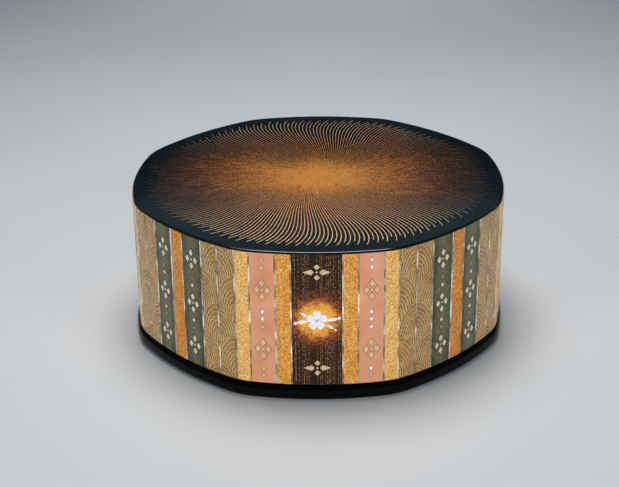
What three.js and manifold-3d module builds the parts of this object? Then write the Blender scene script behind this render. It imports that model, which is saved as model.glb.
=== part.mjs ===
// Octagonal lacquer box with a deep lid, in millimetres, +Z up.
// The box stands on z = 0 with its centre on the Z axis, one principal face looking along -Y.
import * as THREE from 'three';
import { mergeVertices } from 'three/addons/utils/BufferGeometryUtils.js';
import Module from 'manifold-3d';

// Plan of the lid: eight gently bowed faces joined by eight rounded corners
const faceCount = 8;
const widthAcrossFaces = 280;
const faceBowRadius = 216;
const cornerRadius = 52;

// Heights
const totalHeight = 113.6;
const plinthHeight = 12;
const bodyWallHeight = 78;

// Walls and floors
const lidWall = 4;
const lidTop = 5;
const bodyWall = 3.5;
const bodyFloor = 4.5;

// Fits
const lidClearance = 0.6;
const touchGap = 0.3;

// Rounded edges
const lidEdgeRound = 1.5;
const lidCove = 2.5;
const bodyRimRound = 1.2;
const floorCove = 2.5;
const plinthTopRound = 5.5;
const plinthFootRound = 4;

// Plinth and underside
const plinthProjection = 2.4;
const footRingWidth = 12;
const footRecess = 1.6;

// Decorated bands, from the middle of a principal face to the middle of a diagonal face
const panelWidth = 35.8;
const goldWidth = 10.7;
const pinkWidth = 18.1;
const waveWidth = 14.4;
const greenWidth = 18.9;
const middleGoldWidth = 12;

// Silver strips let into the wall between the bands
const stripWidth = 1.5;
const stripThickness = 1.1;
const stripProud = 0.2;

// Fineness of the faceted surfaces
const planSteps = 112;
const edgeSteps = 3;

const wasm = await Module();
wasm.setup();

const black = new THREE.MeshStandardMaterial({ color: 0x0a0c0e, roughness: 0.12, metalness: 0 });
const striped = new THREE.MeshStandardMaterial({ color: 0x9a7a48, roughness: 0.3, metalness: 0.2 });
const silver = new THREE.MeshStandardMaterial({ color: 0xc9c2b5, roughness: 0.25, metalness: 0.9 });

const halfWidth = widthAcrossFaces / 2;
const halfFace = Math.PI / faceCount;
const lidFoot = plinthHeight + touchGap;

// Centre of the corner arc, on the line between two faces, so that it runs smoothly into the bowed faces
function cornerCentreDistance() {
  const faceCentre = halfWidth - faceBowRadius;
  const along = faceCentre * Math.cos(halfFace);
  const reach = faceBowRadius - cornerRadius;
  return along + Math.sqrt(along ** 2 - faceCentre ** 2 + reach ** 2);
}

// Everything that the plan needs in one half face, with angles counted from the middle of the face
function planArcs() {
  const distance = cornerCentreDistance();
  const bow = { centre: new THREE.Vector2(halfWidth - faceBowRadius, 0), radius: faceBowRadius };
  const corner = {
    centre: new THREE.Vector2(distance * Math.cos(halfFace), distance * Math.sin(halfFace)),
    radius: cornerRadius,
  };
  const join = corner.centre.clone().sub(bow.centre);
  const faceTurn = Math.atan2(join.y, join.x);
  const joinPoint = bow.centre.clone().addScaledVector(join.normalize(), faceBowRadius);
  return { bow, corner, faceTurn, joinAngle: Math.atan2(joinPoint.y, joinPoint.x) };
}

const arcs = planArcs();
const bowLength = faceBowRadius * arcs.faceTurn;
const halfFaceLength = bowLength + cornerRadius * (halfFace - arcs.faceTurn);

// Distance from the axis to the lid's wall, as a share of half the width, in the direction of an angle
function outlineShare(angle) {
  const turn = 2 * halfFace;
  const fromFace = Math.abs(angle - turn * Math.round(angle / turn));
  const arc = fromFace < arcs.joinAngle ? arcs.bow : arcs.corner;
  const direction = new THREE.Vector2(Math.cos(fromFace), Math.sin(fromFace));
  const along = direction.dot(arc.centre);
  return (along + Math.sqrt(along ** 2 - arc.centre.lengthSq() + arc.radius ** 2)) / halfWidth;
}

// Place on the lid's wall, a length along it from the middle of the face on the +X side
function wallPlace(length) {
  const faceLength = 2 * halfFaceLength;
  const face = Math.round(length / faceLength);
  const rest = length - face * faceLength;
  const side = Math.sign(rest) || 1;
  const onBow = Math.abs(rest) < bowLength;
  const arc = onBow ? arcs.bow : arcs.corner;
  const turn = onBow
    ? Math.abs(rest) / faceBowRadius
    : arcs.faceTurn + (Math.abs(rest) - bowLength) / cornerRadius;
  const spot = new THREE.Vector2(Math.cos(turn), Math.sin(turn)).multiplyScalar(arc.radius).add(arc.centre);
  spot.y *= side;
  spot.rotateAround(new THREE.Vector2(), face * 2 * halfFace);
  return { x: spot.x, y: spot.y, angle: side * turn + face * 2 * halfFace };
}

// Points of a quarter round from one angle to another, in a profile of distance and height
function quarterRound(x, z, radius, from, to) {
  return Array.from({ length: edgeSteps + 1 }, (_, step) => {
    const angle = THREE.MathUtils.degToRad(from + ((to - from) * step) / edgeSteps);
    return new THREE.Vector2(x + radius * Math.cos(angle), z + radius * Math.sin(angle));
  });
}

// A closed geometry with merged corners, as a solid that can be joined and cut
function toSolid(geometry) {
  const bare = geometry.clone();
  bare.deleteAttribute('normal');
  bare.deleteAttribute('uv');
  const merged = mergeVertices(bare, 1e-4);
  const corners = merged.index.array;
  const kept = [];
  for (let i = 0; i < corners.length; i += 3) {
    const [a, b, c] = corners.subarray(i, i + 3);
    if (a !== b && b !== c && c !== a) kept.push(a, b, c);
  }
  const vertProperties = new Float32Array(merged.attributes.position.array);
  const triVerts = new Uint32Array(kept);
  return new wasm.Manifold(new wasm.Mesh({ numProp: 3, vertProperties, triVerts }));
}

function toGeometry(solid) {
  const mesh = solid.getMesh();
  const geometry = new THREE.BufferGeometry();
  geometry.setAttribute('position', new THREE.BufferAttribute(mesh.vertProperties, 3));
  geometry.setIndex(new THREE.BufferAttribute(mesh.triVerts, 1));
  geometry.computeVertexNormals();
  return geometry;
}

// A profile turned about Z and pushed out from a circle to the box's plan
function turnedToPlan(profile) {
  const geometry = new THREE.LatheGeometry(profile, planSteps);
  geometry.rotateX(Math.PI / 2);
  const places = geometry.attributes.position;
  for (let i = 0; i < places.count; i += 1) {
    const share = outlineShare(Math.atan2(places.getY(i), places.getX(i)));
    places.setXY(i, places.getX(i) * share, places.getY(i) * share);
  }
  return toSolid(geometry);
}

// The lid: a flat top and a skirt that reaches down to the plinth, open below
function lidProfile() {
  const inner = halfWidth - lidWall;
  const ceiling = totalHeight - lidTop;
  return [
    new THREE.Vector2(0, ceiling),
    ...quarterRound(inner - lidCove, ceiling - lidCove, lidCove, 90, 0),
    new THREE.Vector2(inner, lidFoot),
    new THREE.Vector2(halfWidth, lidFoot),
    ...quarterRound(halfWidth - lidEdgeRound, totalHeight - lidEdgeRound, lidEdgeRound, 0, 90),
    new THREE.Vector2(0, totalHeight),
  ];
}

// The body: a tray whose wall rises inside the lid, on a plinth with a rounded moulding
function bodyProfile() {
  const outer = halfWidth - lidWall - lidClearance;
  const inner = outer - bodyWall;
  const plinth = halfWidth + plinthProjection;
  const floor = footRecess + bodyFloor;
  const rim = plinthHeight + bodyWallHeight;
  const ringInside = plinth - plinthFootRound - footRingWidth;
  return [
    new THREE.Vector2(0, footRecess),
    new THREE.Vector2(ringInside - footRecess, footRecess),
    new THREE.Vector2(ringInside, 0),
    ...quarterRound(plinth - plinthFootRound, plinthFootRound, plinthFootRound, -90, 0),
    ...quarterRound(plinth - plinthTopRound, plinthHeight - plinthTopRound, plinthTopRound, 0, 90),
    new THREE.Vector2(outer, plinthHeight),
    ...quarterRound(outer - bodyRimRound, rim - bodyRimRound, bodyRimRound, 0, 90),
    ...quarterRound(inner + bodyRimRound, rim - bodyRimRound, bodyRimRound, 90, 180),
    ...quarterRound(inner - floorCove, floor + floorCove, floorCove, 0, -90),
    new THREE.Vector2(0, floor),
  ];
}

// Middle of each strip, as a length along the wall from the middle of a principal face
function stripLengths() {
  const widths = [
    panelWidth / 2,
    goldWidth,
    pinkWidth,
    goldWidth,
    waveWidth,
    waveWidth,
    greenWidth,
    middleGoldWidth / 2,
  ];
  const eighth = 2 * halfFaceLength;
  const fit = eighth / widths.reduce((sum, width) => sum + width, 0);
  const lengths = [];
  let along = 0;
  for (const width of widths.slice(0, -1)) {
    along += width * fit;
    lengths.push(along);
  }
  const quarter = [...lengths, ...lengths.map((length) => 2 * eighth - length).reverse()];
  const quarters = faceCount / 2;
  return Array.from({ length: quarters }, (_, turn) => quarter.map((length) => length + turn * 2 * eighth)).flat();
}

// An upright bar on the lid's wall, from a depth inside its face to a height above it
function wallBar(place, width, depth, proud, bottom, top) {
  const bar = new THREE.BoxGeometry(depth + proud, width, top - bottom);
  bar.translate((proud - depth) / 2, 0, (top + bottom) / 2);
  bar.rotateZ(place.angle);
  bar.translate(place.x, place.y, 0);
  return bar;
}

function stripGroove(place) {
  const depth = stripThickness - stripProud + touchGap;
  const overshoot = lidWall;
  const width = stripWidth + 2 * touchGap;
  return wallBar(place, width, depth, overshoot, lidFoot - overshoot, totalHeight - lidEdgeRound);
}

function strip(place) {
  const top = totalHeight - lidEdgeRound - touchGap;
  return wallBar(place, stripWidth, stripThickness - stripProud, stripProud, lidFoot, top);
}

function named(name, geometry, material) {
  const mesh = new THREE.Mesh(geometry, material);
  mesh.name = name;
  return mesh;
}

function grooved(lid, places) {
  return places.reduce((solid, place) => solid.subtract(toSolid(stripGroove(place))), lid);
}

const places = stripLengths().map(wallPlace);
const box = new THREE.Group();
box.add(named('body', toGeometry(turnedToPlan(bodyProfile())), black));
box.add(named('lid', toGeometry(grooved(turnedToPlan(lidProfile()), places)), striped));
places.forEach((place, index) => {
  const number = String(index + 1).padStart(2, '0');
  box.add(named(`strip_${number}`, strip(place), silver));
});

export default box;
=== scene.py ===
import math

import bpy
from mathutils import Matrix, Vector


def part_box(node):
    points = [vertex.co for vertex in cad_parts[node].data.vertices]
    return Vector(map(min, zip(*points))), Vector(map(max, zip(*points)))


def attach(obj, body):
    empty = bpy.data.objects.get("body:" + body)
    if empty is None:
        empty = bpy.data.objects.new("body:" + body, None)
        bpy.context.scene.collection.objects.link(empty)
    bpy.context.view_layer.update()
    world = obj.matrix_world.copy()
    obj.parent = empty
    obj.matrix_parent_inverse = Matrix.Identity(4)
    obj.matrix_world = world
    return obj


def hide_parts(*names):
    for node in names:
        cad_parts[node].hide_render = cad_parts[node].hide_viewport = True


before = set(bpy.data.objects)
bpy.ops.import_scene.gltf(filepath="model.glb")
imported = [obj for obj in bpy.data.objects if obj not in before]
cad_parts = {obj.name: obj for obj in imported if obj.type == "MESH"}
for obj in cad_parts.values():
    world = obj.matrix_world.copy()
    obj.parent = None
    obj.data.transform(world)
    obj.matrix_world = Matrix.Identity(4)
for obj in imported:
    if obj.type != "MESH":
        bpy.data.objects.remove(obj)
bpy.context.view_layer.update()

lidLow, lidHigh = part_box("lid")
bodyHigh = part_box("body")[1]
mm = 0.001
touching = 0.01 * mm  # places nearer to each other than this count as one
smoothAngle = math.radians(40)

# Sizes of the box, from the frame where it has them, in metres
box = {
    "faces": 8,
    "halfWidth": lidHigh.x,
    "bowRadius": 216 * mm,
    "cornerRadius": 52 * mm,
    "top": lidHigh.z,
    "lidFoot": lidLow.z,
    "edgeRound": 1.5 * mm,
    "planSteps": 384,
}
# Bands from the middle of a principal face to the middle of a diagonal face, whole widths
bandOrder = ["panel", "gold", "pink", "paleGold", "wave", "wave", "green", "amber"]
bandWidths = {
    "panel": 35.8 * mm,
    "gold": 10.7 * mm,
    "paleGold": 10.7 * mm,
    "pink": 18.1 * mm,
    "wave": 14.4 * mm,
    "green": 18.9 * mm,
    "amber": 12.0 * mm,
}
wallHeight = box["top"] - box["edgeRound"] - box["lidFoot"]
wallMiddle = box["lidFoot"] + wallHeight / 2


# Plan of the box
def planArcs():
    half = math.pi / box["faces"]
    faceCentre = box["halfWidth"] - box["bowRadius"]
    along = faceCentre * math.cos(half)
    reach = box["bowRadius"] - box["cornerRadius"]
    distance = along + math.sqrt(along ** 2 - faceCentre ** 2 + reach ** 2)
    bowCentre = Vector((faceCentre, 0))
    cornerCentre = Vector((distance * math.cos(half), distance * math.sin(half)))
    join = (cornerCentre - bowCentre).normalized()
    turn = math.atan2(join.y, join.x)
    joinPoint = bowCentre + join * box["bowRadius"]
    return {
        "half": half,
        "turn": turn,
        "joinAngle": math.atan2(joinPoint.y, joinPoint.x),
        "bow": (bowCentre, box["bowRadius"]),
        "corner": (cornerCentre, box["cornerRadius"]),
        "bowLength": box["bowRadius"] * turn,
        "eighth": 2 * (box["bowRadius"] * turn + box["cornerRadius"] * (half - turn)),
    }


plan = planArcs()


def outlineShare(angle):  # distance from the axis to the wall, as a share of half the width
    step = 2 * plan["half"]
    fromFace = abs(angle - step * round(angle / step))
    centre, radius = plan["bow"] if fromFace < plan["joinAngle"] else plan["corner"]
    along = Vector((math.cos(fromFace), math.sin(fromFace))).dot(centre)
    return (along + math.sqrt(along ** 2 - centre.length_squared + radius ** 2)) / box["halfWidth"]


def wallPlace(length):  # place and outward angle, a length along the wall from the +X face's middle
    face = round(length / plan["eighth"])
    rest = length - face * plan["eighth"]
    side = -1 if rest < 0 else 1
    onBow = abs(rest) < plan["bowLength"]
    centre, radius = plan["bow"] if onBow else plan["corner"]
    if onBow:
        turn = abs(rest) / box["bowRadius"]
    else:
        turn = plan["turn"] + (abs(rest) - plan["bowLength"]) / box["cornerRadius"]
    spot = centre + radius * Vector((math.cos(turn), math.sin(turn)))
    spot.y *= side
    faceAngle = face * 2 * plan["half"]
    spot.rotate(Matrix.Rotation(faceAngle, 2))
    return spot, side * turn + faceAngle


def bandPlaces():  # every band round the box as (kind, middle, width), lengths along the wall
    widths = [bandWidths[kind] for kind in bandOrder]
    fit = plan["eighth"] / (sum(widths) - (widths[0] + widths[-1]) / 2)
    places = []
    middle = 0
    for index, kind in enumerate(bandOrder):
        if index:
            middle += (widths[index - 1] + widths[index]) / 2 * fit
        places.append((kind, middle, widths[index] * fit))
    mirrored = [(kind, 2 * plan["eighth"] - middle, width) for kind, middle, width in places[1:-1]]
    quarter = places + mirrored[::-1]
    return [
        (kind, middle + turn * 2 * plan["eighth"], width)
        for turn in range(box["faces"] // 2)
        for kind, middle, width in quarter
    ]


bands = bandPlaces()


# Modelling helpers
def toMode(mode):
    bpy.ops.object.mode_set(mode=mode)


def deselectAll():
    if bpy.context.object and bpy.context.object.mode != "OBJECT":
        toMode("OBJECT")
    bpy.ops.object.select_all(action="DESELECT")


def makeActive(piece):
    deselectAll()
    piece.select_set(True)
    bpy.context.view_layer.objects.active = piece


def applyPlace(piece):
    makeActive(piece)
    bpy.ops.object.transform_apply(location=True, rotation=True, scale=True)


def applyModifier(piece, kind, **settings):
    makeActive(piece)
    modifier = piece.modifiers.new(kind.lower(), kind)
    for name, value in settings.items():
        setattr(modifier, name, value)
    bpy.ops.object.modifier_apply(modifier=modifier.name)


def selectParts(piece, kind, test):  # leaves the piece in edit mode, with only some faces or edges selected
    makeActive(piece)
    toMode("EDIT")
    bpy.ops.mesh.select_mode(type=kind)
    bpy.ops.mesh.select_all(action="DESELECT")
    toMode("OBJECT")
    for part in piece.data.polygons if kind == "FACE" else piece.data.edges:
        part.select = test(part)
    toMode("EDIT")


def bevelRing(piece, radius, height, width, segments):  # rounds one turned edge of a piece
    def onRing(edge):
        ends = [piece.data.vertices[index].co for index in edge.vertices]
        return all(abs(co.z - height) < touching and abs(co.xy.length - radius) < touching for co in ends)

    selectParts(piece, "EDGE", onRing)
    bpy.ops.mesh.bevel(offset=width, segments=segments, profile=0.5)
    toMode("OBJECT")


def isLevel(face, height, facing):  # a flat face at a height that looks up (1) or down (-1)
    return abs(face.center.z - height) < touching and face.normal.z * facing > 0.999


def insetAndPush(piece, height, facing, inset, push):  # a smaller face inside a flat one, moved along Z
    selectParts(piece, "FACE", lambda face: isLevel(face, height, facing))
    bpy.ops.mesh.inset(thickness=inset)
    bpy.ops.mesh.extrude_region_move(TRANSFORM_OT_translate={"value": (0, 0, push)})
    toMode("OBJECT")


def pushToPlan(piece):  # from a round piece to the box's plan
    for vertex in piece.data.vertices:
        share = outlineShare(math.atan2(vertex.co.y, vertex.co.x))
        vertex.co.x *= share
        vertex.co.y *= share


def wrapOntoWall(piece):  # a flat layout, X along the wall and -Y outward, laid round the box
    for vertex in piece.data.vertices:
        spot, angle = wallPlace(vertex.co.x)
        out = -vertex.co.y
        vertex.co = (spot.x + out * math.cos(angle), spot.y + out * math.sin(angle), vertex.co.z)


def joinOntoWall(pieces, name):
    deselectAll()
    for piece in pieces:
        piece.select_set(True)
    bpy.context.view_layer.objects.active = pieces[0]
    bpy.ops.object.join()
    pieces[0].name = name
    wrapOntoWall(pieces[0])
    return pieces[0]


def turned(angle):
    return Matrix.Rotation(angle, 4, "Z")


def shifted(x, y):
    return Matrix.Translation((x, y, 0))


def copyTo(template, matrix):
    piece = template.copy()
    piece.data = template.data.copy()
    piece.data.transform(matrix)
    bpy.context.collection.objects.link(piece)
    return piece


def removePieces(pieces):
    for piece in pieces:
        bpy.data.objects.remove(piece, do_unlink=True)


def smoothByAngle(piece):
    makeActive(piece)
    bpy.ops.object.shade_smooth_by_angle(angle=smoothAngle)


def settle(piece, slot, *nodes):  # the piece rides on the box's one body
    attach(piece, "root")
    if nodes:
        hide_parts(*nodes)


# Shader helpers
def colour(code):  # an sRGB code such as C98A3A, as the linear colour that the shader takes
    parts = [int(code[index:index + 2], 16) / 255 for index in (0, 2, 4)]
    linear = [part / 12.92 if part <= 0.04045 else ((part + 0.055) / 1.055) ** 2.4 for part in parts]
    return (*linear, 1)


def addNode(tree, kind, inputs=None, **settings):
    node = tree.nodes.new(kind)
    for name, value in settings.items():
        setattr(node, name, value)
    for key, value in (inputs or {}).items():
        if isinstance(value, bpy.types.NodeSocket):
            tree.links.new(value, node.inputs[key])
        else:
            node.inputs[key].default_value = value
    return node


# Each of these works on a node's output and adds its own nodes to the tree that the output is from
def calc(operation, first, second=0.0, third=0.0):
    inputs = {0: first, 1: second, 2: third}
    return addNode(first.id_data, "ShaderNodeMath", inputs, operation=operation).outputs[0]


def times(first, second):
    return calc("MULTIPLY", first, second)


def rest(value):  # what a value leaves over of 1
    return calc("MULTIPLY_ADD", value, -1.0, 1.0)


def blend(first, second, share):  # a share of the first value and the rest of the second
    return calc("MULTIPLY_ADD", first, share, times(second, 1 - share))


def uneven(value, cloud, depth):  # a value that a cloud from 0 to 1 takes half the depth down or up
    return calc("ADD", value, calc("MULTIPLY_ADD", cloud, depth, -depth / 2))


def lengthOf(x, y):
    squares = calc("ADD", calc("POWER", x, 2.0), calc("POWER", y, 2.0))
    return calc("SQRT", squares)


def nearestWhole(value):  # the nearest whole number, and how far off it is
    whole = calc("ROUND", value)
    return whole, calc("ABSOLUTE", calc("SUBTRACT", value, whole))


def chanceOf(number):  # a random value from 0 to 1 for each whole number
    node = addNode(number.id_data, "ShaderNodeTexWhiteNoise", {"W": number}, noise_dimensions="1D")
    return node.outputs["Value"]


def fade(value, start, end, low=0.0, high=1.0):  # a smooth step from one value to another
    inputs = {"Value": value, "From Min": start, "From Max": end, "To Min": low, "To Max": high}
    node = addNode(value.id_data, "ShaderNodeMapRange", inputs, interpolation_type="SMOOTHSTEP")
    return node.outputs["Result"]


def mixColours(factor, first, second):  # two outputs, or codes of colours
    first, second = [colour(tone) if isinstance(tone, str) else tone for tone in (first, second)]
    inputs = {0: factor, 6: first, 7: second}
    return addNode(factor.id_data, "ShaderNodeMix", inputs, data_type="RGBA").outputs[2]


def colourRamp(factor, stops):
    node = addNode(factor.id_data, "ShaderNodeValToRGB", {0: factor})
    ramp = node.color_ramp
    while len(ramp.elements) < len(stops):
        ramp.elements.new(0.5)
    for element, (place, code) in zip(ramp.elements, stops):
        element.position = place
        element.color = colour(code)
    return node.outputs["Color"]


def noise(place, scale, detail=2.0, rough=0.5):
    inputs = {"Vector": place, "Scale": scale, "Detail": detail, "Roughness": rough}
    return addNode(place.id_data, "ShaderNodeTexNoise", inputs).outputs["Fac"]


def stretched(place, scales, detail):
    scaled = addNode(place.id_data, "ShaderNodeMapping", {"Vector": place, "Scale": scales})
    return noise(scaled.outputs[0], 1.0, detail)


def objectPlace(tree):
    return addNode(tree, "ShaderNodeTexCoord").outputs["Object"]


def bandPlace(tree):  # metres from the band's middle: along the wall, and up
    uv = addNode(tree, "ShaderNodeUVMap", uv_map="band").outputs[0]
    parts = addNode(tree, "ShaderNodeSeparateXYZ", {0: uv})
    return uv, parts.outputs[0], parts.outputs[1]


def bump(height, distance, strength=1.0):
    inputs = {"Height": height, "Distance": distance, "Strength": strength}
    return addNode(height.id_data, "ShaderNodeBump", inputs).outputs[0]


def newMaterial(name, **sockets):  # plain values go on the shader's own sockets
    material = bpy.data.materials.new(name)
    material.use_nodes = True
    shader = material.node_tree.nodes["Principled BSDF"]
    for key, value in sockets.items():
        shader.inputs[socketNames[key]].default_value = value
    return material, material.node_tree


socketNames = {
    "base": "Base Color",
    "metallic": "Metallic",
    "roughness": "Roughness",
    "coat": "Coat Weight",
    "coatRoughness": "Coat Roughness",
    "specular": "Specular IOR Level",
    "normal": "Normal",
}


def plug(material, **outputs):
    shader = material.node_tree.nodes["Principled BSDF"]
    for key, output in outputs.items():
        material.node_tree.links.new(output, shader.inputs[socketNames[key]])
    return material


# Node groups shared by several finishes
def newGroup(name, inputs, outputs):  # plain values only: inputs with what they start from, and outputs
    tree = bpy.data.node_groups.new(name, "ShaderNodeTree")
    for socketName, value in inputs.items():
        socket = tree.interface.new_socket(name=socketName, in_out="INPUT", socket_type="NodeSocketFloat")
        socket.default_value = value
    for socketName in outputs:
        tree.interface.new_socket(name=socketName, in_out="OUTPUT", socket_type="NodeSocketFloat")
    start = tree.nodes.new("NodeGroupInput")
    end = tree.nodes.new("NodeGroupOutput")
    return tree, start.outputs, end.inputs


def makeGoldDust():  # sprinkled gold grains: where they lie, and how each one differs
    tree, given, result = newGroup("goldDust", {"Grains": 1500.0, "Density": 1.0}, ("Mask", "Tone"))
    place = objectPlace(tree)
    cells = addNode(tree, "ShaderNodeTexVoronoi", {"Vector": place, "Scale": given["Grains"]})
    parts = addNode(tree, "ShaderNodeSeparateColor", {0: cells.outputs["Color"]})
    lying = calc("LESS_THAN", parts.outputs[0], given["Density"])
    tree.links.new(lying, result["Mask"])
    tree.links.new(parts.outputs[1], result["Tone"])
    return tree


filmLook = {"cloudScale": 22.0, "rubScales": (900, 900, 60), "rub": (0.15, 0.45)}


def makeLacquerFilm():  # the slight unevenness of a hand-polished surface
    tree, given, result = newGroup("lacquerFilm", {"Smooth": 0.08, "Worn": 0.16}, ("Roughness", "Height"))
    place = objectPlace(tree)
    cloud = noise(place, filmLook["cloudScale"], 3.0)
    rubbed = times(cloud, stretched(place, filmLook["rubScales"], 2.0))
    roughness = fade(rubbed, *filmLook["rub"], given["Smooth"], given["Worn"])
    tree.links.new(roughness, result["Roughness"])
    tree.links.new(cloud, result["Height"])
    return tree


goldDust = makeGoldDust()
lacquerFilm = makeLacquerFilm()


def useGroup(tree, group, inputs):
    return addNode(tree, "ShaderNodeGroup", inputs, node_tree=group).outputs


def sprinkle(tree, grains, density=1.0):
    return useGroup(tree, goldDust, {"Grains": grains, "Density": density})


# Materials; a smooth step is written as (from, to) or (from, to, value before, value after)
blackLook = {
    "base": "020303",
    "film": {"Smooth": 0.1, "Worn": 0.2},
    "bump": 0.02 * mm,
    "bodyShine": 0.1,
    "rimShine": 0.6,
}


def makeBlackLacquer(name, shine):
    material, tree = newMaterial(name, base=colour(blackLook["base"]), specular=shine)
    film = useGroup(tree, lacquerFilm, blackLook["film"])
    return plug(material, roughness=film["Roughness"], normal=bump(film["Height"], blackLook["bump"]))


goldBand = {"base": "DE8A26", "dark": "A05A16", "light": "FFD878", "grains": 2000.0}
# a paler, brighter copy of the gold flake for the second gold band: its extra paleness is a painted sheen
paleGoldBand = {"base": "EEAC48", "dark": "B06E20", "light": "FFEAA6", "grains": 2000.0}
amberBand = {"base": "D07F26", "dark": "92500F", "light": "F8AE52", "grains": 1900.0}
flakes = {
    "fineGrains": 2.3,  # times as many as coarse ones, along each way
    "coarseShare": 0.6,
    "cloudScale": 70.0,
    "cloudDepth": 0.3,
    # painted glints: the brightest coarse grains are painted towards the band's light tone
    "paintedGlint": (0.86, 0.92, 0.0, 0.7),
    "gloss": (0.2, 0.8, 0.5, 0.28),
    "bump": 0.05 * mm,
}


def makeFlakeGold(name, band):  # a band packed with gold flakes
    material, tree = newMaterial(name, metallic=0.3, specular=0.2, coat=0.25, coatRoughness=0.12)
    coarse = sprinkle(tree, band["grains"])
    fine = sprinkle(tree, band["grains"] * flakes["fineGrains"])
    tone = blend(coarse["Tone"], fine["Tone"], flakes["coarseShare"])
    cloud = noise(objectPlace(tree), flakes["cloudScale"])
    clouded = uneven(tone, cloud, flakes["cloudDepth"])
    packed = colourRamp(clouded, [(0.15, band["dark"]), (0.5, band["base"]), (0.85, band["light"])])
    # painted glints, not lit: some coarse grains are painted in the light tone
    paintedGlint = fade(coarse["Tone"], *flakes["paintedGlint"])
    return plug(
        material,
        base=mixColours(paintedGlint, packed, band["light"]),
        roughness=fade(tone, *flakes["gloss"]),
        normal=bump(tone, flakes["bump"], 0.5),
    )


# What the pink and the green lacquer share
bandCoat = {"specular": 0.2, "coat": 0.5, "coatRoughness": 0.12}
bandFilm = {"Smooth": 0.28, "Worn": 0.38}
pinkBand = {"pale": "D49876", "deep": "C78464", "cloudScale": 45.0}


def makePink():
    material, tree = newMaterial("pinkLacquer", **bandCoat)
    film = useGroup(tree, lacquerFilm, bandFilm)
    cloud = noise(objectPlace(tree), pinkBand["cloudScale"], 4.0)
    stops = [(0.35, pinkBand["deep"]), (0.65, pinkBand["pale"])]
    return plug(material, base=colourRamp(cloud, stops), roughness=film["Roughness"])


greenBand = {
    "middle": "5A5435",
    "edge": "27341F",
    "halfWidth": 9.4 * mm,
    "cloudScale": 90.0,
    "mottle": 1.4,
    "speck": "A09A74",
    "grains": 1500.0,
    "density": 0.16,
    "speckStrength": 0.22,
}


def makeGreen():  # mottled olive in the middle of the band, darker and greener along its edges
    material, tree = newMaterial("greenLacquer", **bandCoat)
    film = useGroup(tree, lacquerFilm, bandFilm)
    across = bandPlace(tree)[1]
    cloud = noise(objectPlace(tree), greenBand["cloudScale"], 5.0, 0.65)
    fromMiddle = calc("DIVIDE", calc("ABSOLUTE", across), greenBand["halfWidth"])
    mottle = uneven(fromMiddle, cloud, greenBand["mottle"])
    mottled = colourRamp(mottle, [(0.25, greenBand["middle"]), (0.9, greenBand["edge"])])
    specks = sprinkle(tree, greenBand["grains"], greenBand["density"])
    faint = times(specks["Mask"], greenBand["speckStrength"])
    dusted = mixColours(faint, mottled, greenBand["speck"])
    return plug(material, base=dusted, roughness=film["Roughness"])


waveGround = {
    "dark": "62421A",
    "base": "966E39",
    "light": "BE975A",
    "grains": 2200.0,
    "powderShare": 0.55,
    "cloudScale": 160.0,
    "gloss": (0.2, 0.8, 0.5, 0.38),
    "finish": {"metallic": 0.1, "specular": 0.2, "coat": 0.6, "coatRoughness": 0.16},
}


def makeWaveGround():  # matt tan ground with fine gold powder under the raised lines
    material, tree = newMaterial("waveGround", **waveGround["finish"])
    powder = sprinkle(tree, waveGround["grains"])
    cloud = noise(objectPlace(tree), waveGround["cloudScale"], 3.0)
    tone = blend(powder["Tone"], cloud, waveGround["powderShare"])
    stops = [(0.2, waveGround["dark"]), (0.5, waveGround["base"]), (0.8, waveGround["light"])]
    return plug(material, base=colourRamp(tone, stops), roughness=fade(tone, *waveGround["gloss"]))


panel = {
    "ground": "0F0402",
    "roughness": 0.3,
    "hair": "D0A878",
    "hairSpacing": 1.15 * mm,
    "hairEdge": (0.06, 0.26, 1.0, 0.0),
    "hairStrength": (0.1, 0.9, 0.1, 1.0),
    "gapScales": (900, 750, 1),
    "gaps": (0.44, 0.62, 0.02, 0.7),
    "fineHair": "7C4424",
    "fineScales": (2600, 420, 1),
    "fineEdge": (0.48, 0.64, 0.0, 0.22),
    "glowCentre": 1.0 * mm,
    "glowWide": 25.5 * mm,
    "glowHigh": 24.0 * mm,
    "raggedScale": 150.0,
    "raggedDepth": 0.5,
    "grains": 2100.0,
    "dustReach": (0.25, 1.2, 0.98, 0.0),
    "dust": [(0.2, "EDAA40"), (0.44, "D88C26"), (0.62, "9C4614"), (0.86, "662410")],
    "paleDust": "FFD88C",
    "paleReach": (0.2, 0.8, 0.3, 0.08),
}


def panelHairlines(uv, across):  # dark brown ground with broken upright hairlines of gold
    hair, offset = nearestWhole(calc("DIVIDE", across, panel["hairSpacing"]))
    strength = fade(chanceOf(hair), *panel["hairStrength"])
    line = times(fade(offset, *panel["hairEdge"]), strength)
    broken = stretched(uv, panel["gapScales"], 1.0)
    line = times(line, fade(broken, *panel["gaps"]))
    fine = fade(stretched(uv, panel["fineScales"], 1.0), *panel["fineEdge"])
    ground = mixColours(fine, panel["ground"], panel["fineHair"])
    return mixColours(line, ground, panel["hair"])


def makePanel():  # hairlines, and over them a glow of gold dust in the middle
    material, tree = newMaterial("panelLacquer", specular=0.2, roughness=panel["roughness"])
    uv, across, up = bandPlace(tree)
    wide = calc("DIVIDE", across, panel["glowWide"])
    high = calc("DIVIDE", calc("SUBTRACT", up, panel["glowCentre"]), panel["glowHigh"])
    cloud = noise(uv, panel["raggedScale"], 3.0)
    ragged = uneven(lengthOf(wide, high), cloud, panel["raggedDepth"])
    density = fade(ragged, *panel["dustReach"])
    dust = sprinkle(tree, panel["grains"], density)
    paler = times(dust["Tone"], fade(ragged, *panel["paleReach"]))
    toned = mixColours(paler, colourRamp(ragged, panel["dust"]), panel["paleDust"])
    return plug(material, base=mixColours(dust["Mask"], panelHairlines(uv, across), toned))


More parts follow.
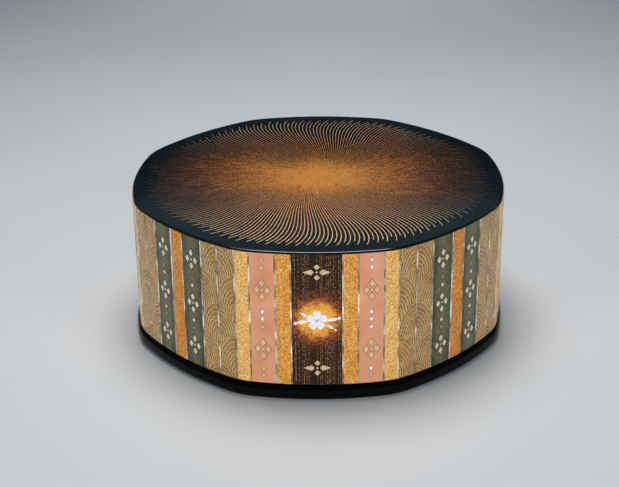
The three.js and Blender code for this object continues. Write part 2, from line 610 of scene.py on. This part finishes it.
# Rays and dust of the lid's top; their reaches are shares of the way from the middle to the edge
sunLook = {
    "rays": 232,
    "longEnd": 0.905,
    "shortEnd": 0.868,
    "rayStagger": 0.016,
    "rayHalfWidth": 0.27 * mm,
    "sway": 0.45,  # radians from the middle to the edge
    "bend": 0.31,  # radians back the other way, nearly all of it close to the edge
    "bendPower": 5.0,
    "rayEdge": (0.7, 1.4, 1.0, 0.0),
    "rayTaper": (0.25, 0.85, 0.72, 1.05),
    "rayFadeIn": (0.05, 0.5),
    "rayBreaks": (0.3, 0.5, 0.6, 1.0),
    "breakScale": 420.0,
    "ray": [(0.2, "C98A48"), (0.5, "CE925A"), (0.85, "E4B886")],
    # the rays' colour at the sides of the top, dark brown as painted shade
    "paintedShadeSideRay": "563A2E",
    "streaks": 105.0,
    "streakRings": 7.0,
    "streakDepth": (0.02, 0.22, 0.0, 0.75),
    "threadScales": (0.7, 0.7, 2.2),
    "threads": (0.38, 0.6, 0.62, 1.2),
    "gaps": (0.02, 0.36, 0.0, 0.9),
    "cloudScale": 24.0,
    "cloudDepth": 0.16,
    "grains": 3300.0,
    "dustReach": (0.06, 0.86, 1.0, 0.0),
    "dustAside": -0.12,
    "dust": [(0.0, "D28C3E"), (0.35, "CA823E"), (0.6, "965A30"), (0.85, "5A3624")],
    "darkDust": "6A3A18",
    "darkDustStrength": 0.35,
    "brown": "1C0D07",
    "brownReach": (0.45, 0.8),
    # black lacquer tinted teal: a painted reflection of the room
    "ground": "020B10",
    "film": {"Smooth": 0.16, "Worn": 0.26},
    "centreReach": (0.12, 0.45, 1.0, 0.0),
    # Steps over the direction's sine, -1 in front and 1 behind, the first two over it without its sign
    # the rays are painted brighter in front and behind than at the sides: painted sheen and painted shade
    "facing": (0.4, 0.98),
    "gapsAside": (0.35, 0.92, 0.35, 1.0),
    "thinBehind": (-0.95, 0.3, 1.0, 0.72),
    # the rays are painted dimmer towards the back: painted shade
    "paintedShadeBehind": (0.0, 0.6, 1.0, 0.7),
}


def topPlaces(tree):  # where a point of the top lies among the rays
    place = objectPlace(tree)
    parts = addNode(tree, "ShaderNodeSeparateXYZ", {0: place})
    x, y = parts.outputs[0], parts.outputs[1]
    radius = lengthOf(x, y)
    angle = calc("ARCTAN2", y, x)
    cornerExtra = outlineShare(plan["half"]) - 1
    swell = calc("COSINE", times(angle, box["faces"]))
    edge = calc("MULTIPLY_ADD", swell, -cornerExtra / 2, 1 + cornerExtra / 2)
    share = calc("DIVIDE", calc("DIVIDE", radius, edge), box["halfWidth"])
    swayed = calc("MULTIPLY_ADD", share, -sunLook["sway"], angle)
    hook = calc("POWER", share, sunLook["bendPower"])
    behind = calc("SINE", angle)
    foreAndAft = calc("ABSOLUTE", behind)
    nearCentre = fade(share, *sunLook["centreReach"])
    cloud = noise(place, sunLook["cloudScale"], 3.0)
    return {
        "place": place,
        "radius": radius,
        "share": share,
        "clouded": uneven(share, cloud, sunLook["cloudDepth"]),
        "bent": calc("MULTIPLY_ADD", hook, sunLook["bend"], swayed),
        "behind": behind,
        "foreAndAft": foreAndAft,
        # 1 in front, behind and near the middle, 0 at the sides: it sets the rays' painted sheen and shade,
        # and how far the dust reaches at the sides
        "facing": calc("MAXIMUM", fade(foreAndAft, *sunLook["facing"]), nearCentre),
    }


def topRays(top):  # the rays as endless lines, and as they show, with their ends and breaks
    turns = times(top["bent"], sunLook["rays"] / (2 * math.pi))
    ray, offset = nearestWhole(turns)
    distance = times(offset, times(top["radius"], 2 * math.pi / sunLook["rays"]))
    half = times(fade(top["behind"], *sunLook["thinBehind"]), sunLook["rayHalfWidth"])
    half = times(half, fade(top["share"], *sunLook["rayTaper"]))
    line = fade(calc("DIVIDE", distance, half), *sunLook["rayEdge"])
    odd = calc("PINGPONG", ray, 1.0)
    end = calc("MULTIPLY_ADD", odd, sunLook["shortEnd"] - sunLook["longEnd"], sunLook["longEnd"])
    end = calc("MULTIPLY_ADD", chanceOf(ray), sunLook["rayStagger"], end)
    reach = calc("LESS_THAN", top["share"], end)
    breaks = fade(noise(top["place"], sunLook["breakScale"]), *sunLook["rayBreaks"])
    shown = times(times(line, reach), breaks)
    return line, times(shown, fade(top["share"], *sunLook["rayFadeIn"]))


def topDust(tree, top, line):  # how far out the streaked dust seems to lie, and how thickly it lies
    share = top["share"]
    streakPlace = addNode(tree, "ShaderNodeCombineXYZ", {
        0: times(calc("COSINE", top["bent"]), sunLook["streaks"]),
        1: times(calc("SINE", top["bent"]), sunLook["streaks"]),
        2: times(share, sunLook["streakRings"])}).outputs[0]
    streak = calc("SUBTRACT", noise(streakPlace, 1.0, 2.0, 0.6), 0.5)
    streaked = times(streak, fade(share, *sunLook["streakDepth"]))
    grained = calc("ADD", top["clouded"], streaked)
    gap = times(rest(line), fade(share, *sunLook["gaps"]))
    gap = times(gap, fade(top["foreAndAft"], *sunLook["gapsAside"]))
    wider = calc("MULTIPLY_ADD", rest(top["facing"]), sunLook["dustAside"], grained)
    threads = fade(stretched(streakPlace, sunLook["threadScales"], 1.0), *sunLook["threads"])
    density = times(fade(wider, *sunLook["dustReach"]), threads)
    return grained, times(density, rest(gap))


def makeSunburst():  # evenly spaced gold rays that bend gently and run out of a glow of gold dust
    material, tree = newMaterial("sunburstLacquer", specular=0.3)
    top = topPlaces(tree)
    line, rays = topRays(top)
    grained, density = topDust(tree, top, line)
    dust = sprinkle(tree, sunLook["grains"], density)
    darker = times(dust["Tone"], sunLook["darkDustStrength"])
    glow = mixColours(darker, colourRamp(grained, sunLook["dust"]), sunLook["darkDust"])
    outer = fade(top["clouded"], *sunLook["brownReach"])
    # towards the edge the ground turns to black lacquer with a painted teal reflection
    ground = mixColours(outer, sunLook["brown"], sunLook["ground"])
    dusted = mixColours(dust["Mask"], ground, glow)
    # painted light on the rays: bright in front, dimmer behind, dark brown at the sides
    paintedRayLight = times(top["facing"], fade(top["behind"], *sunLook["paintedShadeBehind"]))
    rayTones = colourRamp(top["share"], sunLook["ray"])
    rayColour = mixColours(paintedRayLight, sunLook["paintedShadeSideRay"], rayTones)
    film = useGroup(tree, lacquerFilm, sunLook["film"])
    return plug(material, base=mixColours(rays, dusted, rayColour), roughness=film["Roughness"])


silverLook = {
    "tones": [(0.38, "857A6A"), (0.52, "C8BCA6"), (0.62, "FFFBEE")],
    "hammerScales": (300, 300, 110),
    "tarnishScales": (150, 150, 90),
    "gloss": (0.3, 0.7, 0.42, 0.2),
    "bump": 2.2 * mm,
}


def makeSilver():  # hammered and rubbed silver strip
    material, tree = newMaterial("silverStrip", metallic=0.6)
    place = objectPlace(tree)
    beaten = stretched(place, silverLook["hammerScales"], 2.0)
    tarnish = stretched(place, silverLook["tarnishScales"], 3.0)
    return plug(
        material,
        base=colourRamp(tarnish, silverLook["tones"]),
        roughness=fade(tarnish, *silverLook["gloss"]),
        normal=bump(beaten, silverLook["bump"]),
    )


# Cut pieces, their outlines and the wave lines: dark tone, light tone, metallic, roughness
inlayLook = {
    "tanTile": ("C8AC80", "E2CDA6", 0.3, 0.35),
    "paleTile": ("BDB996", "DEDABE", 0.15, 0.3),
    "shellTile": ("D8D6DC", "F6F5F8", 0.1, 0.22),
    "fadedTile": ("6E7259", "8C8F74", 0.2, 0.35),
    "darkOutline": ("0A0F08", "121A0E", 0.0, 0.3),
    "pinkOutline": ("A96A48", "B57A56", 0.0, 0.3),
    "waveLine": ("DCB878", "FFE6B4", 0.4, 0.32),
}
inlayGrain = 700.0


def makeInlay(name):  # cut shell or gold foil, lightly grained
    dark, light, metallic, roughness = inlayLook[name]
    material, tree = newMaterial(name, metallic=metallic, roughness=roughness, coat=0.3, coatRoughness=0.1)
    grain = noise(objectPlace(tree), inlayGrain)
    return plug(material, base=colourRamp(grain, [(0.35, dark), (0.65, light)]))


materials = {
    "black": makeBlackLacquer("blackLacquer", blackLook["bodyShine"]),
    "rim": makeBlackLacquer("rimLacquer", blackLook["rimShine"]),
    "gold": makeFlakeGold("goldFlake", goldBand),
    # the same gold with a painted sheen, for the second gold band
    "paleGold": makeFlakeGold("paleGoldFlake", paleGoldBand),
    "amber": makeFlakeGold("amberFlake", amberBand),
    "pink": makePink(),
    "green": makeGreen(),
    "wave": makeWaveGround(),
    "panel": makePanel(),
    "sunburst": makeSunburst(),
    "silver": makeSilver(),
}
materials.update({name: makeInlay(name) for name in inlayLook})
print("materials made")


# The lid: a hollow black lid, its bands laid round the wall
lidShape = {
    "wall": 4.0 * mm,
    "top": 5.0 * mm,
    "roundSegments": 6,
    "skin": 0.25 * mm,  # how far the lid's own wall lies inside the faces of its bands
    "bandThick": 0.4 * mm,
}


def addTurnedBlock(name, radius, bottom, top):
    deselectAll()
    bpy.ops.mesh.primitive_cylinder_add(
        vertices=box["planSteps"], radius=radius, depth=top - bottom, location=(0, 0, (top + bottom) / 2))
    block = bpy.context.object
    block.name = name
    applyPlace(block)
    return block


def makeLid():
    radius = box["halfWidth"] - lidShape["skin"]
    lid = addTurnedBlock("lidLacquer", radius, box["lidFoot"], box["top"])
    hollow = box["top"] - lidShape["top"] - box["lidFoot"]
    insetAndPush(lid, box["lidFoot"], -1, lidShape["wall"] - lidShape["skin"], hollow)
    bevelRing(lid, radius, box["top"], box["edgeRound"], lidShape["roundSegments"])
    pushToPlan(lid)
    lid.data.materials.append(materials["rim"])
    lid.data.materials.append(materials["sunburst"])
    for face in lid.data.polygons:
        if isLevel(face, box["top"], 1):
            face.material_index = 1
    smoothByAngle(lid)
    settle(lid, "decorated_lacquer", "lid")


bandGrid = {"stepAlong": 1.6 * mm, "rows": 8}


def layBand(kind, middle, width):  # one band as a flat grid with its own map of places
    deselectAll()
    columns = round(width / bandGrid["stepAlong"])
    bpy.ops.mesh.primitive_grid_add(
        x_subdivisions=columns, y_subdivisions=bandGrid["rows"], size=1,
        location=(middle, 0, wallMiddle), rotation=(math.pi / 2, 0, 0))
    band = bpy.context.object
    band.scale = (width, wallHeight, 1)
    applyPlace(band)
    layer = band.data.uv_layers.active
    layer.name = "band"
    for loop in band.data.loops:
        co = band.data.vertices[loop.vertex_index].co
        layer.data[loop.index].uv = (co.x - middle, co.z - wallMiddle)
    band.data.materials.append(materials[kind])
    return band


def makeBands():
    skin = joinOntoWall([layBand(*place) for place in bands], "lidBands")
    makeActive(skin)
    toMode("EDIT")
    bpy.ops.mesh.select_all(action="SELECT")
    bpy.ops.mesh.remove_doubles(threshold=touching)
    toMode("OBJECT")
    applyModifier(skin, "SOLIDIFY", thickness=lidShape["bandThick"], offset=-1)
    smoothByAngle(skin)
    settle(skin, "decorated_lacquer")


makeLid()
makeBands()
print("lid and bands made")


# Silver strips between the bands
stripShape = {
    "width": 1.25 * mm,
    "thickness": 0.9 * mm,
    "proud": 0.22 * mm,
    "round": 0.28 * mm,
    "roundSegments": 2,
}


def makeStrips():
    deselectAll()
    bpy.ops.mesh.primitive_cube_add(size=1, location=(0, 0, wallMiddle))
    strip = bpy.context.object
    strip.scale = (stripShape["width"], stripShape["thickness"], wallHeight)
    applyPlace(strip)
    applyModifier(
        strip, "BEVEL", width=stripShape["round"], segments=stripShape["roundSegments"], limit_method="ANGLE")
    depth = stripShape["thickness"] / 2 - stripShape["proud"]
    copies = [copyTo(strip, shifted(middle + width / 2, depth)) for kind, middle, width in bands]
    removePieces([strip])
    strips = joinOntoWall(copies, "silverStrips")
    strips.data.materials.append(materials["silver"])
    smoothByAngle(strips)
    nodes = [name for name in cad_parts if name.startswith("strip_")]
    settle(strips, "silver_strip", *nodes)


makeStrips()
print("strips made")


# Wave bands: raised gold lines in overlapping arches, one unit for two neighbouring bands
waves = {
    "lines": 8,
    "pitch": 47.0 * mm,
    "firstApex": 9.0 * mm,
    "archHigh": 27.0 * mm,
    "archWiden": 1.06,
    "lineRadius": 0.26 * mm,
    "flatness": 0.5,
    "steps": 22,
    "margin": 0.9 * mm,  # between a line's end and the middle of a strip
    "edgeGap": 0.2 * mm,
}


def archCentres(bandWidth):  # centre of each arch, lowest row first
    rows = int(wallHeight / waves["pitch"] * 2) + 3
    for row in range(-1, rows):
        base = waves["firstApex"] + row * waves["pitch"] / 2 - waves["archHigh"]
        columns = [0.0] if row % 2 == 0 else [-bandWidth, bandWidth]
        for column in columns:
            yield row, column, base


def insideArch(x, z, arch, halfWide):
    row, column, base = arch
    across = abs(x - column) / halfWide
    if z >= base:
        return across ** 2 + ((z - base) / waves["archHigh"]) ** 2 < 1
    return across < 1 and z > base - waves["pitch"] / 2


def visibleRuns(points, hidden):  # stretches of a line that nothing covers
    run = []
    for point in points:
        if hidden(*point):
            if len(run) > 1:
                yield run
            run = []
        else:
            run.append(point)
    if len(run) > 1:
        yield run


def archLine(arch, scale, halfWide, side):  # half an arch, from its crown down to the foot of its leg
    row, column, base = arch
    points = []
    for step in range(waves["steps"] + 1):
        angle = math.pi / 2 * (1 - step / waves["steps"])
        points.append((
            column + side * halfWide * scale * math.cos(angle),
            base + waves["archHigh"] * scale * math.sin(angle)))
    for step in range(1, waves["steps"] // 2):
        points.append((points[-1][0], base - waves["pitch"] * step / waves["steps"]))
    return points


def waveRuns(bandWidth):
    halfWide = bandWidth * waves["archWiden"]
    arches = list(archCentres(bandWidth))
    runs = []
    for arch in arches:
        front = [other for other in arches if other[0] < arch[0]]

        def hidden(x, z):
            inStrip = min(abs(x), bandWidth - abs(x)) < waves["margin"]
            outside = abs(x) > bandWidth or not waves["edgeGap"] < z < wallHeight - waves["edgeGap"]
            return inStrip or outside or any(insideArch(x, z, other, halfWide) for other in front)

        for index in range(waves["lines"]):
            scale = 1 - index / waves["lines"]
            for side in (-1, 1):
                runs += visibleRuns(archLine(arch, scale, halfWide, side), hidden)
    return runs


def makeWaveUnit(bandWidth):
    curve = bpy.data.curves.new("waveUnit", "CURVE")
    curve.dimensions = "3D"
    curve.bevel_depth = waves["lineRadius"]
    curve.bevel_resolution = 0
    curve.use_fill_caps = True
    for run in waveRuns(bandWidth):
        spline = curve.splines.new("POLY")
        spline.points.add(len(run) - 1)
        for point, (x, z) in zip(spline.points, run):
            point.co = (x, 0, z + box["lidFoot"], 1)
    unit = bpy.data.objects.new("waveUnit", curve)
    bpy.context.collection.objects.link(unit)
    makeActive(unit)
    bpy.ops.object.convert(target="MESH")
    return bpy.context.object


def makeWaves():
    waveBands = [(middle, width) for kind, middle, width in bands if kind == "wave"]
    unit = makeWaveUnit(waveBands[0][1])
    unit.data.transform(Matrix.Scale(waves["flatness"], 4, (0, 1, 0)))
    copies = [copyTo(unit, shifted(middle + width / 2, 0)) for middle, width in waveBands[::2]]
    removePieces([unit])
    lines = joinOntoWall(copies, "waveLines")
    lines.data.materials.clear()
    lines.data.materials.append(materials["waveLine"])
    makeActive(lines)
    bpy.ops.object.shade_smooth()
    settle(lines, "decorated_lacquer")


makeWaves()
print("wave lines made")


# Cut diamonds and flowers of the inlay
tiles = {
    "thick": 0.45 * mm,
    "proud": 0.16 * mm,
    "bevel": 0.1 * mm,
    "roundCorners": 10,
    "flowerWide": 4.0 * mm,
    "flowerHigh": 5.7 * mm,
    "flowerAside": 3.75 * mm,
    "flowerAbove": 5.0 * mm,
    "smallWide": 3.0 * mm,
    "smallHigh": 3.8 * mm,
    "dot": 1.5 * mm,
    "outline": 1.46,  # size of the dark rim piece under a diamond, in sizes of the diamond
    "outlineProud": 0.08 * mm,
    "kiteLong": 7.9 * mm,
    "kiteHigh": 4.3 * mm,
    "kiteWaist": 0.25,  # how far its broadest place lies off its middle, as a share of its length
    "kiteAside": 1.9 * mm,
    "panelDiamond": 4.2 * mm,
    "panelAbove": 3.9 * mm,
}
# Heights of the inlay as shares of the wall, from its foot
pinkFlowers = [0.268, 0.724]
pinkSmall = [0.062, 0.114, 0.44, 0.502, 0.558, 0.895, 0.949]
pinkKinds = {  # the bands on the two sides of a panel, from the foot up
    "before": ["tanTile", "tanTile", "tanTile", "shellTile", "shellTile", "tanTile", "tanTile"],
    "after": ["tanTile", "shellTile", "shellTile", "shellTile", "shellTile", "shellTile", "shellTile"],
}
greenFlowers = [0.155, 0.49, 0.83]
greenSmall = [(0.295, "fadedTile"), (0.355, "paleTile"), (0.63, "paleTile"), (0.69, "fadedTile")]
panelOrnaments = [0.133, 0.871]


def flatTile(corners, wide, high, material):  # a cut piece lying flat, its face up
    deselectAll()
    bpy.ops.mesh.primitive_circle_add(vertices=corners, radius=0.5, fill_type="NGON")
    tile = bpy.context.object
    tile.scale = (wide, high, 1)
    applyPlace(tile)
    selectParts(tile, "FACE", lambda face: True)
    bpy.ops.mesh.extrude_region_move(TRANSFORM_OT_translate={"value": (0, 0, tiles["thick"])})
    bpy.ops.mesh.select_all(action="SELECT")
    bpy.ops.mesh.normals_make_consistent(inside=False)
    toMode("OBJECT")
    tile.data.materials.clear()
    tile.data.materials.append(materials[material])
    return tile


def bevelTile(tile):
    applyModifier(tile, "BEVEL", width=tiles["bevel"], segments=1, limit_method="ANGLE")
    return tile


def cutTile(corners, wide, high, material):
    return bevelTile(flatTile(corners, wide, high, material))


def makeKite(material):  # a diamond with one long point, towards +X
    kite = flatTile(4, tiles["kiteLong"], tiles["kiteHigh"], material)
    middle = tiles["kiteLong"] * tiles["kiteWaist"]
    for vertex in kite.data.vertices:
        if abs(vertex.co.x) < middle:
            vertex.co.x -= middle
    kite.data.transform(shifted(tiles["kiteAside"] + tiles["kiteLong"] / 2, 0))
    return bevelTile(kite)


def standUp(along, share, proud):  # from lying flat to its place on the flat wall layout
    place = Matrix.Translation((along, tiles["thick"] - proud, box["lidFoot"] + share * wallHeight))
    return place @ Matrix.Rotation(math.pi / 2, 4, "X")


def makeTemplates():
    made = {}
    for name in ("tanTile", "paleTile", "shellTile", "fadedTile", "darkOutline", "pinkOutline"):
        grow = tiles["outline"] if name.endswith("Outline") else 1
        for shape in ("flower", "small"):
            made[shape, name] = cutTile(4, tiles[shape + "Wide"] * grow, tiles[shape + "High"] * grow, name)
    for name in ("tanTile", "paleTile"):
        made["dot", name] = cutTile(tiles["roundCorners"], tiles["dot"], tiles["dot"], name)
    made["panel", "tanTile"] = cutTile(4, tiles["panelDiamond"], tiles["panelDiamond"], "tanTile")
    made["kite", "tanTile"] = makeKite("tanTile")
    return made


def outlinedTile(templates, shape, name, outline, along, share, offset=(0, 0)):
    under = standUp(along, share, tiles["outlineProud"])
    over = standUp(along, share, tiles["proud"])
    return [
        copyTo(templates[shape, outline], under @ shifted(*offset)),
        copyTo(templates[shape, name], over @ shifted(*offset)),
    ]


def flowerAt(templates, along, share, name, outline):
    copies = [copyTo(templates["dot", name], standUp(along, share, tiles["proud"]))]
    aside = tiles["flowerAside"]
    above = tiles["flowerAbove"]
    for offset in ((aside, 0), (-aside, 0), (0, above), (0, -above)):
        copies += outlinedTile(templates, "flower", name, outline, along, share, offset)
    return copies


def panelOrnamentAt(templates, along, share):
    place = standUp(along, share, tiles["proud"])
    above = tiles["panelAbove"]
    moves = [
        ("panel", shifted(0, above)),
        ("panel", shifted(0, -above)),
        ("kite", turned(0)),
        ("kite", turned(math.pi)),
        ("dot", shifted(0, 0)),
    ]
    return [copyTo(templates[shape, "tanTile"], place @ move) for shape, move in moves]


def makeTiles():
    templates = makeTemplates()
    copies = []
    for kind, middle, width in bands:
        if kind == "pink":
            side = "after" if middle % (2 * plan["eighth"]) < plan["eighth"] else "before"
            for share in pinkFlowers:
                copies += flowerAt(templates, middle, share, "tanTile", "pinkOutline")
            for share, name in zip(pinkSmall, pinkKinds[side]):
                copies += outlinedTile(templates, "small", name, "pinkOutline", middle, share)
        elif kind == "green":
            for share in greenFlowers:
                copies += flowerAt(templates, middle, share, "paleTile", "darkOutline")
            for share, name in greenSmall:
                copies += outlinedTile(templates, "small", name, "darkOutline", middle, share)
        elif kind == "panel":
            for share in panelOrnaments:
                copies += panelOrnamentAt(templates, middle, share)
    removePieces(templates.values())
    settle(joinOntoWall(copies, "inlayTiles"), "decorated_lacquer")


makeTiles()
print("inlay tiles made")


# White blossom spray in the middle of each panel
blossom = {
    "petals": 5,
    "petalLong": 7.2 * mm,
    "petalWide": 6.6 * mm,
    "petalWaist": 0.78,  # width at its middle, and how much it gains outward and loses inward
    "petalFlare": 0.3,
    "petalTip": 0.9,  # where its tip starts, and how far that is pushed back
    "petalFlat": 0.6 * mm,
    "petalOut": 0.56,  # of its length, from the blossom's middle to its own
    "petalCorners": 18,
    "centreShare": 0.505,
    "leafLong": 8.5 * mm,
    "leafWide": 3.0 * mm,
    "leafTaper": 0.55,
    "leafCorners": 16,
    "bud": 2.6 * mm,
    "heart": 2.34 * mm,
    "budCorners": 12,
    "proud": 0.3 * mm,
    "heartProud": 0.4 * mm,
}
# Leaves and buds of the spray as (kind, along, up, turn in degrees, size), from the blossom's middle
sprayPieces = [
    ("leaf", 10.6 * mm, 0.6 * mm, 8, 0.95),
    ("leaf", -10.4 * mm, -1.2 * mm, 190, 0.95),
    ("leaf", 9.0 * mm, -4.8 * mm, -34, 0.75),
    ("leaf", -9.0 * mm, 4.4 * mm, 150, 0.75),
    ("bud", 15.2 * mm, 1.6 * mm, 0, 0.9),
    ("bud", -15.0 * mm, -2.4 * mm, 0, 0.9),
    ("bud", 12.6 * mm, -7.4 * mm, 0, 0.7),
]


def makeLeaf():  # an oval with pointed ends
    leaf = flatTile(blossom["leafCorners"], blossom["leafLong"], blossom["leafWide"], "shellTile")
    for vertex in leaf.data.vertices:
        along = abs(vertex.co.x) / (blossom["leafLong"] / 2)
        vertex.co.y *= 1 - blossom["leafTaper"] * along ** 2
    return bevelTile(leaf)


def makePetal():  # broad and rounded, narrow at the heart of the blossom
    petal = flatTile(blossom["petalCorners"], blossom["petalLong"], blossom["petalWide"], "shellTile")
    for vertex in petal.data.vertices:
        outward = vertex.co.x / (blossom["petalLong"] / 2)
        vertex.co.y *= blossom["petalWaist"] + blossom["petalFlare"] * outward
        if outward > blossom["petalTip"]:
            vertex.co.x -= blossom["petalFlat"]
    petal.data.transform(shifted(blossom["petalLong"] * blossom["petalOut"], 0))
    return bevelTile(petal)


def makeBlossoms():
    corners = blossom["budCorners"]
    templates = {
        "petal": makePetal(),
        "leaf": makeLeaf(),
        "bud": cutTile(corners, blossom["bud"], blossom["bud"], "shellTile"),
        "heart": cutTile(corners, blossom["heart"], blossom["heart"], "tanTile"),
    }
    copies = []
    for kind, middle, width in bands:
        if kind != "panel":
            continue
        place = standUp(middle, blossom["centreShare"], blossom["proud"])
        for index in range(blossom["petals"]):
            angle = math.pi / 2 + index * 2 * math.pi / blossom["petals"]
            copies.append(copyTo(templates["petal"], place @ turned(angle)))
        heartPlace = standUp(middle, blossom["centreShare"], blossom["heartProud"])
        copies.append(copyTo(templates["heart"], heartPlace))
        for name, along, up, degrees, size in sprayPieces:
            scaled = turned(math.radians(degrees)) @ Matrix.Diagonal((size, size, 1, 1))
            copies.append(copyTo(templates[name], place @ shifted(along, up) @ scaled))
    removePieces(templates.values())
    settle(joinOntoWall(copies, "blossomSprays"), "decorated_lacquer")


makeBlossoms()
print("blossoms made")


# The body: a tray on its plinth
tray = {
    "plinthHeight": lidLow.z - 0.3 * mm,  # the lid stands that much clear of it
    "plinthTopRound": 5.5 * mm,
    "topSegments": 10,
    "plinthFootRound": 4.0 * mm,
    "footSegments": 6,
    "wallInset": 7.0 * mm,  # the plinth's projection, the lid's wall and its clearance
    "wall": 3.5 * mm,
    "floor": 4.5 * mm,
    "footRing": 12.0 * mm,
    "footRecess": 1.6 * mm,
    "rimRound": 1.2 * mm,
    "rimSegments": 3,
}


def makeBody():
    radius = bodyHigh.x
    plinthTop = tray["plinthHeight"]
    body = addTurnedBlock("bodyLacquer", radius, 0, plinthTop)
    insetAndPush(body, plinthTop, 1, tray["wallInset"], bodyHigh.z - plinthTop)
    floorDepth = bodyHigh.z - tray["footRecess"] - tray["floor"]
    insetAndPush(body, bodyHigh.z, 1, tray["wall"], -floorDepth)
    footInset = tray["plinthFootRound"] + tray["footRing"]
    insetAndPush(body, 0, -1, footInset, tray["footRecess"])
    bevelRing(body, radius, plinthTop, tray["plinthTopRound"], tray["topSegments"])
    bevelRing(body, radius, 0, tray["plinthFootRound"], tray["footSegments"])
    outer = radius - tray["wallInset"]
    for rim in (outer, outer - tray["wall"]):
        bevelRing(body, rim, bodyHigh.z, tray["rimRound"], tray["rimSegments"])
    pushToPlan(body)
    body.data.materials.append(materials["black"])
    smoothByAngle(body)
    settle(body, "black_lacquer", "body")


makeBody()
print("body made")


# Floor, lights and camera
floorLook = {
    "size": 30.0,
    "below": 0.2 * mm,
    "paper": "C3C6CA",
    "fibre": "FFFFFF",
    "fibreScale": 3.0,
    "fibreStrength": 0.06,
}


def makeFloor():
    deselectAll()
    bpy.ops.mesh.primitive_grid_add(
        x_subdivisions=8, y_subdivisions=8, size=floorLook["size"], location=(0, 0, -floorLook["below"]))
    floor = bpy.context.object
    floor.name = "floor"
    material, tree = newMaterial("floorPaper", roughness=0.6, specular=0.3)
    cloud = noise(objectPlace(tree), floorLook["fibreScale"], 4.0)
    fibre = times(cloud, floorLook["fibreStrength"])
    paper = mixColours(fibre, floorLook["paper"], floorLook["fibre"])
    floor.data.materials.append(plug(material, base=paper))


# Sizes and places in metres, powers in watts, spreads in degrees
keyLight = {
    "power": 6.2,
    "size": 0.9,
    "spread": 92,
    "place": (-0.07, 0.27, 1.5),
    "aim": (0, 0.05, 0),
    "tint": (1, 0.985, 0.965),
}
backLight = {
    "power": 0.8,
    "size": 0.4,
    "spread": 50,
    "place": (0, 1.35, 1.3),
    "aim": (0, 1.35, 0),
    "tint": (1, 1, 1),
}
fillLight = {
    "size": 0.7,
    "spread": 120,
    "away": 2.1,
    "up": 0.45,
    "aim": (0, 0, 0.06),
    "tint": (1, 0.985, 0.97),
}
fills = {"leftFill": (-46, 8.2), "frontFill": (0, 3.4), "rightFill": (46, 8.2)}  # direction, power
# Light from all round, over the height of its direction: level or lower (0) to straight up (1)
roomTones = [
    (0.0, "A0A6AC"), (0.1, "7C8288"), (0.2, "1A2226"), (0.39, "070C0F"), (0.445, "82A4AE"), (0.6, "525B60"),
]


def addAreaLight(name, power, place, look):
    light = bpy.data.lights.new(name, "AREA")
    light.energy = power
    light.size = look["size"]
    light.spread = math.radians(look["spread"])
    light.color = look["tint"]
    holder = bpy.data.objects.new(name, light)
    bpy.context.collection.objects.link(holder)
    holder.location = place
    holder.rotation_euler = (Vector(look["aim"]) - Vector(place)).to_track_quat("-Z", "Y").to_euler()
    return holder


def makeRoom():
    world = bpy.data.worlds.new("studio")
    bpy.context.scene.world = world
    world.use_nodes = True
    tree = world.node_tree
    direction = addNode(tree, "ShaderNodeTexCoord").outputs["Generated"]
    height = addNode(tree, "ShaderNodeSeparateXYZ", {0: direction}).outputs[2]
    background = tree.nodes["Background"]
    tree.links.new(colourRamp(height, roomTones), background.inputs["Color"])
    background.inputs["Strength"].default_value = 1.0


def makeLights():
    addAreaLight("key", keyLight["power"], keyLight["place"], keyLight)
    addAreaLight("back", backLight["power"], backLight["place"], backLight)
    for name, (degrees, power) in fills.items():
        away = fillLight["away"]
        turn = math.radians(degrees)
        place = (away * math.sin(turn), -away * math.cos(turn), fillLight["up"])
        fill = addAreaLight(name, power, place, fillLight)
        fill.visible_glossy = False  # soft light only, no mirror image of it in the polished lid
    bpy.context.scene.view_settings.view_transform = "Standard"


# The photograph's camera, fitted to the box's outline: distances in half widths, angles in radians
view = {
    "imageWidth": 619,
    "distance": 8.0,
    "lower": 0.01,  # below the height that distance and elevation give
    "elevation": 0.4719,
    "tilt": 0.424,
    "focalPixels": 1408.2,
    "centreX": 318.69,
    "roll": -0.0077,
    "turn": 0.011,
    "sensor": 36.0,
}


def makeCamera():
    distance = view["distance"] * box["halfWidth"]
    height = distance * math.sin(view["elevation"]) - view["lower"] * box["halfWidth"]
    place = Matrix.Translation((0, -distance * math.cos(view["elevation"]), height))
    pitch = Matrix.Rotation(math.pi / 2 - view["tilt"], 4, "X")
    roll = Matrix.Rotation(view["roll"], 4, "Z")
    data = bpy.data.cameras.new("camera")
    data.sensor_width = view["sensor"]
    data.lens = view["focalPixels"] / view["imageWidth"] * view["sensor"]
    data.shift_x = 0.5 - view["centreX"] / view["imageWidth"]
    camera = bpy.data.objects.new("camera", data)
    bpy.context.collection.objects.link(camera)
    camera.matrix_world = Matrix.Rotation(view["turn"], 4, "Z") @ place @ pitch @ roll
    bpy.context.scene.camera = camera


makeFloor()
makeRoom()
makeLights()
makeCamera()
deselectAll()
print("studio made")
